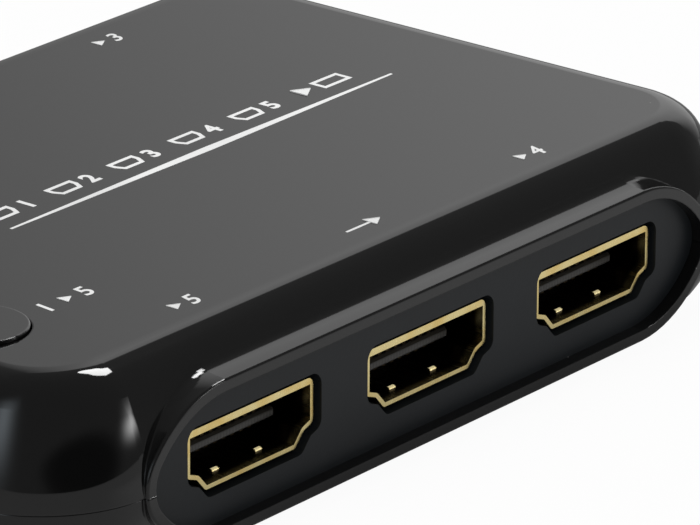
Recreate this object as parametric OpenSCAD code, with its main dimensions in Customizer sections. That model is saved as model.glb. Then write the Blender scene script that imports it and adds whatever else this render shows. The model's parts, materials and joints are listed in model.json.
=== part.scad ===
// Low video switch box: two gloss shells, recessed port panels front and back,
// six video sockets, one push button, and the board and fittings inside.
// Millimetres. X along the port row, -Y towards the front ports, Z up, feet on Z = 0.

/* [Case] */
// Width of the case at the seam
body_w = 88.2; // [84:0.2:120]
// Depth of the case at the seam
body_d = 59.1; // [57:0.1:80]
// Height of the case from its base face to its top face
body_h = 15.85; // [15.2:0.05:18]
// Height of the seam between the shells above the base face
seam_h = 6.55; // [6:0.05:7.2]
// Plan radius of the case corners at the seam
corner_r = 10.2; // [9:0.1:14]
// How far the top edge stands inside the seam line
top_inset = 3.4; // [2.4:0.1:4.2]
// How far the base edge stands inside the seam line
base_inset = 3; // [2:0.1:3.6]
// Radius of the gentle curve of the upper walls
wall_bow = 21.4; // [18:0.2:40]
// Radius of the gentle curve of the lower walls
base_bow = 12; // [9:0.5:30]
// Rounding of the top edge
edge_r = 3.8; // [2.4:0.1:4]
// Rounding of the base edge
base_r = 1.8; // [1.6:0.1:2.4]
// Step that draws the seam line
seam_step = 0.12; // [0.05:0.01:0.3]
// Wall thickness of the shells
wall = 1.6; // [1.2:0.1:2]
// Thickness of the roof
roof_t = 1.8; // [1.4:0.1:2.2]
// Thickness of the floor
floor_t = 1.4; // [1.2:0.1:1.8]

/* [Port bay] */
// Length of the rounded port bay outside its lip
bay_len = 69.2; // [66:0.2:76]
// Height of the rounded port bay outside its lip
bay_h = 12.65; // [12.2:0.05:13.2]
// Radius of the small round at each end of the bay
bay_end_r = 3.8; // [3:0.1:5]
// Radius of the long sweep from that round to the straight run
bay_sweep_r = 10.5; // [8:0.1:14]
// Width of the flat lip around the bay
lip_w = 0.95; // [0.7:0.05:1.2]
// How far the lip stands in front of the seam line
lip_out = 0.25; // [0.1:0.05:0.6]
// Rounding of the lip's outer edge
lip_r = 0.2; // [0.1:0.05:0.6]
// Height of the bay's centre above the socket centres
bay_rise = 0.12; // [0:0.02:0.4]
// Radius of the hollow ledge on the hood
ledge_r = 8; // [6:0.5:14]
// Radius of the hollow blend between that ledge and the wall
hood_r = 1; // [0.3:0.1:1.4]
// Depth of the port panel's face behind the lip
panel_in = 1.15; // [0.8:0.05:1.5]
// Thickness of a port panel
panel_t = 1.5; // [1.2:0.1:1.8]
// How far a panel's rim reaches behind the lip
panel_lap = 0.4; // [0.3:0.02:0.45]

/* [Sockets] */
// Spacing of neighbouring sockets
port_pitch = 21; // [18:0.5:22]
// Outside width of a socket shell
port_w = 14.6; // [14.4:0.1:14.8]
// Outside height of a socket shell
port_h = 5.15; // [5:0.05:5.3]
// Length of a socket shell
port_l = 11.2; // [10:0.1:12]
// Sheet thickness of a socket shell
port_t = 0.34; // [0.25:0.01:0.35]
// Height of the socket centre above the base face
port_up = 6.75; // [6.6:0.05:7]
// Depth of a socket's rim behind the panel face
port_in = 0.45; // [0.3:0.05:0.6]
// Gap between a socket shell and its panel cut-out
port_gap = 0.45; // [0.2:0.05:0.5]
// Half width of the tongue inside a socket
tongue_hw = 5.4; // [5:0.1:5.6]
// Thickness of the tongue
tongue_t = 0.9; // [0.7:0.05:1]
// Depth of the tongue's end behind the rim
tongue_in = 2.3; // [2:0.1:3]
// Depth of the block that carries the tongue behind the rim
core_in = 6; // [5:0.1:7]
// Pitch of the contacts along the tongue
contact_pitch = 1; // [0.9:0.05:1]

/* [Button] */
// Radius of the hole for the push button
button_hole_r = 4.2; // [3.8:0.1:4.3]
// Radial gap around the push button
button_gap = 0.15; // [0.1:0.05:0.3]
// Height of the push button above the top face
button_rise = 0.3; // [0.2:0.05:0.8]
// Rounding of the button's top edge
button_r = 0.12; // [0.08:0.02:0.4]
// Distance of the button's centre from the left seam line
button_side = 9.5; // [9.3:0.1:14]
// Distance of the button's centre from the front seam line
button_front = 16.2; // [16:0.1:19]
// Travel of the button
button_travel = 0.5; // [0.3:0.05:0.7]

/* [Feet and screws] */
// Height of a foot below the base face
foot_h = 0.75; // [0.5:0.05:1.2]
// Radius of a foot
foot_r = 4; // [3:0.1:4.5]
// Depth of the recess that holds a foot
foot_in = 0.4; // [0.3:0.05:0.6]
// Radius of a screw shank
screw_r = 1; // [0.8:0.05:1.1]
// Radius of a screw head
screw_head_r = 1.9; // [1.7:0.05:2]
// Height of a screw head
screw_head_h = 0.6; // [0.5:0.05:0.8]
// Distance of a screw from the end seam line
screw_side = 9; // [8.6:0.1:9.6]
// Distance of a screw from the front or rear seam line
screw_front = 8.8; // [8.4:0.1:9.4]
// Distance of a foot's centre from the end seam line
foot_side = 15.2; // [15:0.1:20]
// Distance of a foot's centre from the front or rear seam line
foot_front = 13.2; // [12.6:0.1:18]

/* [Board] */
// Thickness of the circuit board
board_t = 1.6; // [1.2:0.1:1.6]
// Gap between the board's edge and the walls
board_gap = 0.6; // [0.4:0.1:1]
// Spacing of the indicator lights
light_pitch = 4.5; // [4:0.1:5]
// Radius of an indicator light
light_r = 0.8; // [0.6:0.05:1]

/* [Power jack] */
// Outer radius of the jack's round mouth
jack_r = 2.5; // [2.3:0.05:2.6]
// Radius of the jack's bore
jack_bore_r = 1.8; // [1.6:0.05:1.9]
// Length of the jack's block
jack_l = 10; // [9:0.1:12]
// Width of the jack's block
jack_w = 6.4; // [6:0.1:8]
// Height of the jack's block
jack_h = 5.8; // [5.6:0.1:6.2]
// Depth of the jack's mouth inside the end seam line
jack_in = 0.6; // [0.4:0.1:1]

/* [Hidden] */
$fn = 96;
// how far a joined piece runs into its neighbour, and a cut past a face
touch = 0.01;
over = 1;
base_z = foot_h;
seam_z = base_z + seam_h;
top_z = base_z + body_h;
upper_h = body_h - seam_h;
floor_z = base_z + floor_t;
roof_z = top_z - roof_t;
// centres of the corner rounds, and of the wall arcs in their own plane
hx = body_w/2 - corner_r;
hy = body_d/2 - corner_r;
upper_c = arc_centre([corner_r - top_inset, upper_h], [corner_r, 0], wall_bow);
lower_c = arc_centre([corner_r - base_inset, seam_h], [corner_r - seam_step, 0], base_bow);
inner_r = 0.6;
// port bay
port_z = base_z + port_up;
bay_z = port_z + bay_rise;
bay_r = bay_h/2;
bay_end_x = bay_len/2 - bay_end_r;
bay_sweep_up = bay_sweep_r - bay_r;
bay_sweep_x = bay_end_x - sqrt(pow(bay_sweep_r - bay_end_r, 2) - pow(bay_sweep_up, 2));
bay_turn = atan2(bay_sweep_up, bay_end_x - bay_sweep_x);
bay_lap = 0.2;
bay_run = 3;
lip_y = body_d/2 + lip_out;
panel_y = lip_y - panel_in;
panel_back = panel_y - panel_t;
panel_gap = 0.05;
panel_edge = panel_lap - lip_w;
hood_root = 2;
lip_steps = 5;
ledge_steps = 8;
blend_steps = 4;
// socket mouth: straight side, ear, hollow knee and narrow foot, and their corner rounds
rim_y = panel_y - port_in;
ear_up = 1.52;
knee_in = 1.1;
knee_up = 1.12;
mouth_foot_in = 2.1;
mouth_top_r = 0.65;
ear_r = 0.4;
knee_r = 0.4;
mouth_foot_r = 0.4;
least_r = 0.05;
arc_steps = 6;
// folded hem of the rim's upper edge, and the springs in the floor of the mouth
hem_t = 0.54;
hem_l = 0.8;
spring_x = 2.5;
spring_w = 0.8;
spring_r = 0.2;
spring_in = 1.5;
slot_w = 0.24;
slot_l = 3.2;
slot_in = 1;
slot_x = 0.8;
tongue_drop = 0.25;
tongue_nose = 0.2;
core_out = 0.4;
contact_w = 0.4;
contact_t = 0.12;
contact_in = 0.3;
contact_count = 10;
// board
board_top = port_z - port_h/2;
board_z = board_top - board_t;
board_r = arc_x(lower_c, base_bow - wall, seam_z - board_z) - board_gap;
board_hx = hx + board_r;
board_hy = hy + board_r;
// posts and screws
post_r = 2;
post_x = body_w/2 - screw_side;
post_y = body_d/2 - screw_front;
screw_gap = 0.1;
screw_bite = 4.5;
foot_gap = 0.1;
head_in = 0.3;
head_z = base_z + head_in;
cross_l = 2.2;
cross_w = 0.45;
cross_h = 0.35;
// button and the switch under it
button_x = button_side - body_w/2;
button_y = button_front - body_d/2;
cap_r = button_hole_r - button_gap;
cap_top = top_z + button_rise;
flange_t = 0.8;
flange_w = 0.6;
flange_drop = 0.05;
flange_cut = 2;
cap_z = roof_z - flange_drop - flange_t;
stem_r = 2.2;
switch_h = 3.5;
switch_w = 6;
cover_t = 0.3;
plunger_r = 1.7;
plunger_gap = 0.3;
plunger_in = 0.3;
plunger_rise = 2.6;
plunger_z = board_top + switch_h - plunger_in;
plunger_top = board_top + switch_h + cover_t + plunger_rise;
// indicator lights, halfway between the button and the rear post
light_count = 5;
light_shift = 0.6;
light_x = button_x - light_shift;
light_mid = (button_y + cap_r + flange_w + post_y - post_r)/2;
light_y = light_mid - (light_count - 1)*light_pitch/2;
light_gap = 0.05;
guide_t = 0.9;
guide_lap = 0.6;
guide_side = light_r + guide_lap;
guide_lift = 0.4;
light_size = [1.6, 1, 0.7];
// power jack
jack_gap = 0.2;
jack_z = board_top + jack_h/2;
jack_x = board_hx - jack_l;
jack_tip = body_w/2 - jack_in;
jack_end = 1.5;
pin_r = 0.65;
pin_l = 9;
blade_size = [6, 1.8, 0.25];
blade_drop = sqrt(pow(jack_bore_r, 2) - pow(blade_size[1]/2, 2)) - touch;
// board parts: middle or first place on the board, and size
main_chip_at = [3, 0];
main_chip_size = [14, 14, 1.4];
equaliser_at = [-14.5, 0];
equaliser_size = [7, 7, 1];
regulator_at = [24.3, -8.3];
regulator_size = [6.5, 3.5, 1.6];
crystal_at = [16.5, 6.6];
crystal_size = [5, 3.2, 1.2];
inductor_at = [16, -9];
inductor_size = [4, 4, 1.8];
capacitor_at = [24, 3];
capacitor_step = 6;
capacitor_r = 2;
capacitor_h = 5.4;
resistor_at = [-7.6, 11.3];
resistor_step = 2.2;
resistor_size = [0.9, 1.7, 0.5];
resistor_count = 8;
// colours
gloss_black = [0.03, 0.03, 0.035];
satin_black = [0.06, 0.062, 0.065];
gold = [0.83, 0.66, 0.3];
steel = [0.75, 0.75, 0.76];
dark_plastic = [0.05, 0.05, 0.055];

// centre of the arc of radius r through two points, on the inner side
function arc_centre(a, b, r) =
  let(m = (a + b)/2, d = b - a, l = norm(d), k = sqrt(r*r - l*l/4))
  [m[0] - k*abs(d[1])/l, m[1] - k*abs(d[0])/l];

// distance across of an arc with centre c and radius r at height y
function arc_x(c, r, y) = c[0] + sqrt(r*r - pow(y - c[1], 2));

// half outline of a wall: seam at y = 0, edge face at y = h, wall along the arc of
// centre c and radius bow, rounded edge of radius e; a cavity also runs past the seam
module half_section(c, bow, h, e, past = 0) {
  f = [arc_x(c, bow - e, h - e), h - e];
  u = (f - c)/norm(f - c);
  difference() {
    intersection() {
      translate([0, -past]) square([c[0] + bow + over, h + past]);
      translate(c) circle(r = bow, $fn = 360);
    }
    difference() {
      polygon([f, [f[0], h + e], [f[0] + 2*e, h + e], f + 2*e*u]);
      translate(f) circle(r = e);
    }
  }
}

// rounded box swept from a half outline of height h
module swept_box(h, past = 0) {
  for (sx = [-1, 1])
    for (sy = [-1, 1])
      translate([sx*hx, sy*hy, 0]) rotate_extrude() children();
  rotate([90, 0, 90]) linear_extrude(2*hx, center = true) {
    translate([hy, 0]) children();
    mirror([1, 0]) translate([hy, 0]) children();
    translate([-hy, -past]) square([2*hy, h + past]);
  }
  rotate([90, 0, 0]) linear_extrude(2*hy, center = true) {
    translate([hx, 0]) children();
    mirror([1, 0]) translate([hx, 0]) children();
    translate([-hx, -past]) square([2*hx, h + past]);
  }
}

module upper_body() {
  translate([0, 0, seam_z])
    swept_box(upper_h) half_section(upper_c, wall_bow, upper_h, edge_r);
}

module upper_cavity() {
  translate([0, 0, seam_z]) swept_box(upper_h - roof_t, over)
    half_section(upper_c, wall_bow - wall, upper_h - roof_t, edge_r - wall, over);
}

module lower_body() {
  translate([0, 0, seam_z]) mirror([0, 0, 1]) swept_box(seam_h)
    half_section(lower_c, base_bow, seam_h, base_r);
}

module lower_cavity() {
  translate([0, 0, seam_z]) mirror([0, 0, 1]) swept_box(seam_h - floor_t, over)
    half_section(lower_c, base_bow - wall, seam_h - floor_t, inner_r, over);
}

module mirror_x() {
  children();
  mirror([1, 0, 0]) children();
}

module mirror_y() {
  children();
  mirror([0, 1, 0]) children();
}

// wedge that a sweep of the bay fills, seen from its own centre; it stays bay_lap/2 clear of
// the tangent lines, where its neighbours run in under it
module sweep_wedge() {
  far = 3*bay_sweep_r;
  tip = [bay_lap/2, bay_lap/2*tan(bay_turn) + bay_lap/2/cos(bay_turn)];
  polygon([tip, tip + far*[cos(bay_turn), sin(bay_turn)], [tip[0], far]]);
}

// oval outline of the bay grown by g: straight run, long sweeps and a small round at each end
module bay_outline(g) {
  square([2*(bay_sweep_x + bay_lap), 2*(bay_r + g)], center = true);
  mirror_x() {
    translate([bay_end_x, 0]) circle(r = bay_end_r + g);
    mirror_y() translate([bay_sweep_x, -bay_sweep_up]) intersection() {
      circle(r = bay_sweep_r + g);
      sweep_wedge();
    }
  }
}

// bar with that outline, standing from y0 to y1 in front of the middle plane
module bay_bar(g, y0, y1) {
  translate([0, -y0, bay_z]) rotate([90, 0, 0]) linear_extrude(y1 - y0) bay_outline(g);
}

// points on the arc of radius r about c between two angles
function arc_points(c, r, first, last, steps) = [for (i = [0:steps])
  let(a = first + (last - first)*i/steps) c + r*[cos(a), sin(a)]];

// outline of the hood where the bay's edge has radius r: radius across, distance from the
// middle plane upwards; a rounded lip, and above the seam also a hollow ledge behind it and
// a blend against the wall
module hood_outline(r, ledged) {
  rise = bay_z + bay_r - seam_z;
  tilt = asin((rise - upper_c[1])/wall_bow);
  y_wall = hy + arc_x(upper_c, wall_bow, rise);
  out = [sin(tilt), cos(tilt)];
  up = [cos(tilt), -sin(tilt)];
  // centres of the ledge and of the blend, and the angle where the one passes into the other
  ledge = [r + ledge_r, lip_y - lip_r];
  p = [r, y_wall] + hood_r*out - ledge;
  blend = ledge + p - up*(up*p + sqrt(pow(up*p, 2) - p*p + pow(ledge_r - hood_r, 2)));
  turn = 180 + asin((ledge[1] - blend[1])/(ledge_r - hood_r));
  hollow = concat(arc_points(ledge, ledge_r, 180, turn, ledge_steps),
    arc_points(blend, hood_r, turn, 270 - tilt, blend_steps));
  edge = concat(arc_points([r - lip_r, lip_y - lip_r], lip_r, 90, 0, lip_steps), ledged ? hollow : []);
  back = y_wall - hood_root;
  polygon(concat([[0, back], [0, lip_y]], edge, [[edge[len(edge) - 1][0], back]]));
}

module hood(ledged) {
  translate([0, 0, bay_z]) rotate([90, 0, 0]) {
    mirror_x() {
      translate([bay_end_x, 0, 0]) rotate_extrude() hood_outline(bay_end_r, ledged);
      mirror_y() translate([bay_sweep_x, -bay_sweep_up, 0]) intersection() {
        rotate_extrude() hood_outline(bay_sweep_r, ledged);
        linear_extrude(body_d) sweep_wedge();
      }
    }
    rotate([90, 0, 90]) linear_extrude(2*(bay_sweep_x + bay_lap), center = true)
      mirror_x() hood_outline(bay_r, ledged);
  }
}

module bay_cuts() {
  bay_bar(-lip_w, panel_back - bay_run, lip_y + over);
  bay_bar(panel_edge + panel_gap, panel_back - panel_gap, panel_y);
}

module above_seam() {
  translate([-body_w, -body_d, seam_z]) cube([2*body_w, 2*body_d, body_h]);
}

module below_seam() {
  translate([-body_w, -body_d, 0]) cube([2*body_w, 2*body_d, seam_z]);
}

module at_posts() {
  for (sx = [-1, 1])
    for (sy = [-1, 1])
      translate([sx*post_x, sy*post_y, 0]) children();
}

module at_lights() {
  for (i = [1:light_count])
    light_place(i) children();
}

module light_place(i) {
  translate([light_x, light_y + (i - 1)*light_pitch, 0]) children();
}

module jack_hole() {
  translate([hx, 0, jack_z]) rotate([0, 90, 0]) cylinder(r = jack_r + jack_gap, h = corner_r + over);
}

module top_shell() {
  color(gloss_black) {
    difference() {
      union() {
        upper_body();
        intersection() {
          mirror_y() hood(true);
          above_seam();
        }
      }
      upper_cavity();
      mirror_y() bay_cuts();
      translate([button_x, button_y, cap_z]) cylinder(r = button_hole_r, h = cap_top - cap_z);
      at_lights() translate([0, 0, cap_z]) cylinder(r = light_r + light_gap, h = cap_top - cap_z);
      jack_hole();
    }
    difference() {
      at_posts() translate([0, 0, board_top]) cylinder(r = post_r, h = roof_z - board_top + touch);
      at_posts() translate([0, 0, board_z])
        cylinder(r = screw_r + screw_gap, h = board_t + screw_bite + over);
    }
  }
}

module bottom_shell() {
  color(gloss_black)
  difference() {
    union() {
      difference() {
        union() {
          lower_body();
          intersection() {
            mirror_y() hood(false);
            below_seam();
          }
        }
        lower_cavity();
        mirror_y() bay_cuts();
        jack_hole();
      }
      at_posts() translate([0, 0, floor_z - touch]) cylinder(r = post_r, h = board_z - floor_z + touch);
    }
    at_posts() cylinder(r = screw_r + screw_gap, h = board_top);
    at_posts() cylinder(r = screw_head_r + screw_gap, h = head_z + screw_head_h);
    for (i = [0:3])
      foot_place(i) cylinder(r = foot_r + foot_gap, h = base_z + foot_in);
  }
}

// outline of a socket mouth, clockwise from its top right corner
mouth_half = [[port_w/2, port_h/2], [port_w/2, ear_up - port_h/2],
  [port_w/2 - knee_in, knee_up - port_h/2], [port_w/2 - mouth_foot_in, -port_h/2]];
mouth = concat(mouth_half, [for (i = [3:-1:0]) [-mouth_half[i][0], mouth_half[i][1]]]);

// radii of those corners on the outline grown by g, where the knee is hollow
function mouth_radii(g) =
  let(half = [mouth_top_r + g, ear_r + g, knee_r - g, mouth_foot_r + g])
  [for (i = [0:7]) max(half[min(i, 7 - i)], least_r)];

// outward normal of the edge from a to b on a clockwise outline
function edge_normal(a, b) = [a[1] - b[1], b[0] - a[0]]/norm(b - a);

// outline grown by g square to each edge
function grown(p, g) = [for (i = [0:len(p) - 1])
  let(n = len(p), u = edge_normal(p[(i + n - 1) % n], p[i]), v = edge_normal(p[i], p[(i + 1) % n]))
  p[i] + g*(u + v)/(1 + u*v)];

// arc of radius r that rounds the corner at b between a and c
function corner_arc(a, b, c, r) =
  let(u = (a - b)/norm(a - b), v = (c - b)/norm(c - b), half = acos(u*v)/2,
    m = b + (u + v)/norm(u + v)*r/sin(half),
    first = b + u*r/tan(half) - m, last = b + v*r/tan(half) - m)
  [for (i = [0:arc_steps])
    let(w = first + (last - first)*i/arc_steps) m + w*r/norm(w)];

// outline p with its corners rounded by the radii r
function rounded(p, r) = [for (i = [0:len(p) - 1])
  let(n = len(p)) each corner_arc(p[(i + n - 1) % n], p[i], p[(i + 1) % n], r[i])];

// bar with the mouth profile, from depth d0 to d1 behind the rim of a front socket
module mouth_bar(g, d0, d1) {
  translate([0, d1 - rim_y, port_z]) rotate([90, 0, 0]) linear_extrude(d1 - d0)
    polygon(rounded(grown(mouth, g), mouth_radii(g)));
}

module port_panel() {
  difference() {
    bay_bar(panel_edge, panel_back, panel_y);
    for (i = [-1, 0, 1])
      translate([i*port_pitch, 0, 0]) mouth_bar(port_gap, -port_in - over, panel_t + over);
  }
}

module front_panel() {
  color(satin_black) port_panel();
}

module rear_panel() {
  color(satin_black) mirror([0, 1, 0]) port_panel();
}

module socket_shell() {
  floor_in = board_top + port_t;
  color(gold)
  difference() {
    union() {
      difference() {
        mouth_bar(0, 0, port_l);
        mouth_bar(-port_t, -over, port_l + over);
      }
      intersection() {
        mouth_bar(0, 0, hem_l);
        translate([-port_w/2, -rim_y, port_z + port_h/2 - hem_t]) cube([port_w, hem_l, hem_t]);
      }
      for (s = [-1, 1])
        translate([s*spring_x, spring_in - rim_y, floor_in]) rotate([0, 90, 0])
          cylinder(r = spring_r, h = spring_w, center = true);
    }
    for (s = [-1, 1])
      for (e = [-1, 1])
        translate([s*spring_x + e*slot_x - slot_w/2, slot_in - rim_y, board_top - over])
          cube([slot_w, slot_l, port_t + 2*over]);
  }
}

// side view of the tongue with its blunt nose
module tongue_outline() {
  nose_t = tongue_t - 2*tongue_nose;
  nose_end = tongue_in + tongue_nose;
  polygon([[tongue_in, -nose_t/2], [nose_end, -tongue_t/2], [core_in + touch, -tongue_t/2],
    [core_in + touch, tongue_t/2], [nose_end, tongue_t/2], [tongue_in, nose_t/2]]);
}

module socket_core() {
  color(dark_plastic) {
    mouth_bar(-port_t, core_in, port_l + core_out);
    translate([0, -rim_y, port_z - tongue_drop]) rotate([90, 0, 90])
      linear_extrude(2*tongue_hw, center = true) tongue_outline();
  }
}

// two rows of contacts on the faces of the tongue, the lower one short of one contact
module socket_contacts() {
  color(gold)
  for (row = [0, 1]) {
    last = contact_count - 1 - row;
    for (i = [0:last])
      translate([(i - last/2)*contact_pitch - contact_w/2, tongue_in + contact_in - rim_y,
          port_z - tongue_drop + (row == 0 ? tongue_t/2 : -tongue_t/2 - contact_t)])
        cube([contact_w, core_in - tongue_in - contact_in, contact_t]);
  }
}

module front_at(i) {
  translate([(i - 2)*port_pitch, 0, 0]) children();
}

// the rear row is the front row mirrored across the middle plane
module rear_at(i) {
  mirror([0, 1, 0]) front_at(i) children();
}

module circuit_board() {
  color([0.05, 0.2, 0.09])
  difference() {
    translate([0, 0, board_z]) linear_extrude(board_t) {
      for (sx = [-1, 1])
        for (sy = [-1, 1])
          translate([sx*hx, sy*hy]) circle(r = board_r);
      square([2*board_hx, 2*hy], center = true);
      square([2*hx, 2*board_hy], center = true);
    }
    at_posts() cylinder(r = screw_r + 2*screw_gap, h = board_top + over);
  }
}

module push_button() {
  color(gloss_black) translate([button_x, button_y, 0]) {
    rotate_extrude() {
      translate([0, cap_z]) square([cap_r, cap_top - button_r - cap_z]);
      translate([0, cap_z]) square([cap_r - button_r, cap_top - cap_z]);
      translate([cap_r - button_r, cap_top - button_r]) circle(r = button_r);
    }
    intersection() {
      translate([0, 0, cap_z]) cylinder(r = cap_r + flange_w, h = flange_t);
      translate([-flange_cut, -2*cap_r, 0]) cube([4*cap_r, 4*cap_r, cap_top]);
    }
    translate([0, 0, plunger_top]) cylinder(r = stem_r, h = cap_z - plunger_top + touch);
  }
}

module switch_plunger() {
  color(dark_plastic) translate([button_x, button_y, plunger_z])
    cylinder(r = plunger_r, h = plunger_top - plunger_z);
}

module switch_base() {
  pit = plunger_in + button_travel + plunger_gap;
  color(dark_plastic) translate([button_x, button_y, board_top])
  difference() {
    translate([-switch_w/2, -switch_w/2, 0]) cube([switch_w, switch_w, switch_h]);
    translate([0, 0, switch_h - pit]) cylinder(r = plunger_r + plunger_gap, h = pit + over);
  }
}

module switch_cover() {
  color(steel) translate([button_x, button_y, board_top + switch_h])
  difference() {
    translate([-switch_w/2, -switch_w/2, 0]) cube([switch_w, switch_w, cover_t]);
    translate([0, 0, -over]) cylinder(r = plunger_r + plunger_gap, h = cover_t + 2*over);
  }
}

// bar under the roof with one clear rod up through the roof and down to each light
module light_guide() {
  rod_z = board_top + light_size[2] + guide_lift;
  color([0.85, 0.88, 0.9, 0.5]) {
    translate([light_x - guide_side, light_y - guide_side, roof_z - guide_t])
      cube([2*guide_side, (light_count - 1)*light_pitch + 2*guide_side, guide_t]);
    at_lights() {
      translate([0, 0, roof_z - touch]) cylinder(r = light_r, h = roof_t + touch);
      translate([0, 0, rod_z]) cylinder(r = light_r, h = roof_z - guide_t - rod_z + touch);
    }
  }
}

module light_n(i) {
  color([0.92, 0.9, 0.8]) light_place(i) on_board([0, 0], light_size);
}

module power_jack_housing() {
  color(dark_plastic)
  difference() {
    union() {
      translate([jack_x, -jack_w/2, board_top]) cube([jack_l, jack_w, jack_h]);
      translate([board_hx - over, 0, jack_z]) rotate([0, 90, 0])
        cylinder(r = jack_r, h = jack_tip - board_hx + over);
    }
    translate([jack_x + jack_end, 0, jack_z]) rotate([0, 90, 0]) cylinder(r = jack_bore_r, h = body_w);
  }
}

module power_jack_pin() {
  color(steel) translate([jack_x + jack_end, 0, jack_z]) rotate([0, 90, 0]) cylinder(r = pin_r, h = pin_l);
}

module power_jack_spring() {
  color(steel) translate([jack_x + jack_end, -blade_size[1]/2, jack_z - blade_drop]) cube(blade_size);
}

// block of a given size standing on the board at a given middle
module on_board(at, size) {
  translate([at[0] - size[0]/2, at[1] - size[1]/2, board_top]) cube(size);
}

module switch_chip() {
  color(dark_plastic) on_board(main_chip_at, main_chip_size);
}

module equaliser_chip() {
  color(dark_plastic) on_board(equaliser_at, equaliser_size);
}

module regulator_chip() {
  color(dark_plastic) on_board(regulator_at, regulator_size);
}

module crystal() {
  color(steel) on_board(crystal_at, crystal_size);
}

module capacitor_n(i) {
  color([0.7, 0.71, 0.73]) translate([capacitor_at[0], capacitor_at[1] + (i - 1)*capacitor_step, board_top])
    cylinder(r = capacitor_r, h = capacitor_h);
}

module inductor() {
  color([0.2, 0.2, 0.21]) on_board(inductor_at, inductor_size);
}

module resistor_bank() {
  color([0.12, 0.12, 0.13])
  for (i = [0:resistor_count - 1])
    on_board(resistor_at + [i*resistor_step, 0], resistor_size);
}

// corner i of four: left or right, front or rear
function corner_side(i) = [i % 2 == 0 ? -1 : 1, i < 2 ? -1 : 1];

module screw_n(i) {
  side = corner_side(i);
  color([0.6, 0.6, 0.62])
  translate([side[0]*post_x, side[1]*post_y, head_z])
  difference() {
    union() {
      cylinder(r = screw_head_r, h = screw_head_h);
      cylinder(r = screw_r, h = board_top + screw_bite - head_z);
    }
    for (a = [0, 90])
      rotate([0, 0, a]) cube([cross_l, cross_w, 2*cross_h], center = true);
  }
}

module foot_place(i) {
  side = corner_side(i);
  translate([side[0]*(body_w/2 - foot_side), side[1]*(body_d/2 - foot_front), 0]) children();
}

module foot_n(i) {
  color([0.08, 0.08, 0.085]) foot_place(i) cylinder(r = foot_r, h = foot_h + foot_in);
}

top_shell();
bottom_shell();
front_panel();
rear_panel();
circuit_board();
front_at(1) socket_shell();  // front_shell_1
front_at(2) socket_shell();  // front_shell_2
front_at(3) socket_shell();  // front_shell_3
rear_at(1) socket_shell();  // rear_shell_1
rear_at(2) socket_shell();  // rear_shell_2
rear_at(3) socket_shell();  // rear_shell_3
front_at(1) socket_core();  // front_core_1
front_at(2) socket_core();  // front_core_2
front_at(3) socket_core();  // front_core_3
rear_at(1) socket_core();  // rear_core_1
rear_at(2) socket_core();  // rear_core_2
rear_at(3) socket_core();  // rear_core_3
front_at(1) socket_contacts();  // front_contacts_1
front_at(2) socket_contacts();  // front_contacts_2
front_at(3) socket_contacts();  // front_contacts_3
rear_at(1) socket_contacts();  // rear_contacts_1
rear_at(2) socket_contacts();  // rear_contacts_2
rear_at(3) socket_contacts();  // rear_contacts_3
push_button();
switch_plunger();
switch_base();
switch_cover();
light_guide();
light_n(1);  // light_1
light_n(2);  // light_2
light_n(3);  // light_3
light_n(4);  // light_4
light_n(5);  // light_5
power_jack_housing();
power_jack_pin();
power_jack_spring();
switch_chip();
equaliser_chip();
regulator_chip();
crystal();
capacitor_n(1);  // capacitor_1
capacitor_n(2);  // capacitor_2
inductor();
resistor_bank();
screw_n(0);  // screw_1
screw_n(1);  // screw_2
screw_n(2);  // screw_3
screw_n(3);  // screw_4
foot_n(0);  // foot_1
foot_n(1);  // foot_2
foot_n(2);  // foot_3
foot_n(3);  // foot_4
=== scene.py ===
"""Finish and studio of a low gloss black video switch box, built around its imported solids."""
import json
import math

import bpy
from bpy.props import FloatProperty, FloatVectorProperty, PointerProperty
from bpy.types import Operator, Panel, PropertyGroup
from mathutils import Matrix, Vector


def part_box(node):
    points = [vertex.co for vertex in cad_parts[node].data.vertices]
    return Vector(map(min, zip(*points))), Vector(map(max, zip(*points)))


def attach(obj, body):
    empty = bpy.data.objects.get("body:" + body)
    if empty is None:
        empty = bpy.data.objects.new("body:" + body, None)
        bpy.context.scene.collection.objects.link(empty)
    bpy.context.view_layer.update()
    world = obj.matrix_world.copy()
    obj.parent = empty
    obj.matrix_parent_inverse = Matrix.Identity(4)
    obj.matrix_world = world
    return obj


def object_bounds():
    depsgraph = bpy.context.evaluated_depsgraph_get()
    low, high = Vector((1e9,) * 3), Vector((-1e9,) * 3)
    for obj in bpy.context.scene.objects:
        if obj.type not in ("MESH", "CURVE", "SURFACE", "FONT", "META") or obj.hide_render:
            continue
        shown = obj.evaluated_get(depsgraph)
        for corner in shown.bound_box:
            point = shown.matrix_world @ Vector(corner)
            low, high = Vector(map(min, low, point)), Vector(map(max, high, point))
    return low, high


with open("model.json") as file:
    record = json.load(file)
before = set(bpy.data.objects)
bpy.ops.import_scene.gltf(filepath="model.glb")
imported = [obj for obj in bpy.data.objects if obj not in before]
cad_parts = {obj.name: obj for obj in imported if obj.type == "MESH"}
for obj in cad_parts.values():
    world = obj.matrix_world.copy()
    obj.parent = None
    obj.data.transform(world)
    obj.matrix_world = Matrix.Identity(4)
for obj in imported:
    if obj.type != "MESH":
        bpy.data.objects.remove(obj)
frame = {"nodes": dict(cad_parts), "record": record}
CAD_BOX = [list(corner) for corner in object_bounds()]

bl_info = {
    "name": "Video Switch Box",
    "version": (1, 0, 0),
    "blender": (4, 5, 0),
    "location": "View3D > Sidebar > Switch Box",
    "description": "Finishes a low video switch box and sets up its studio",
    "category": "Object",
}

MM = 0.001
EDGE_SOFTENING = 0.15*MM
NODES = frame["nodes"]
SLOT_OF = {part["node"]: part["material_slot"] for part in frame["record"]["subparts"]}


# Sizes and colours that a user would change

def length(name, description, millimetres):
    """A length property with its default given in millimetres."""
    return FloatProperty(name=name, description=description, default=millimetres*MM,
                         subtype="DISTANCE", unit="LENGTH", precision=5)


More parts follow.
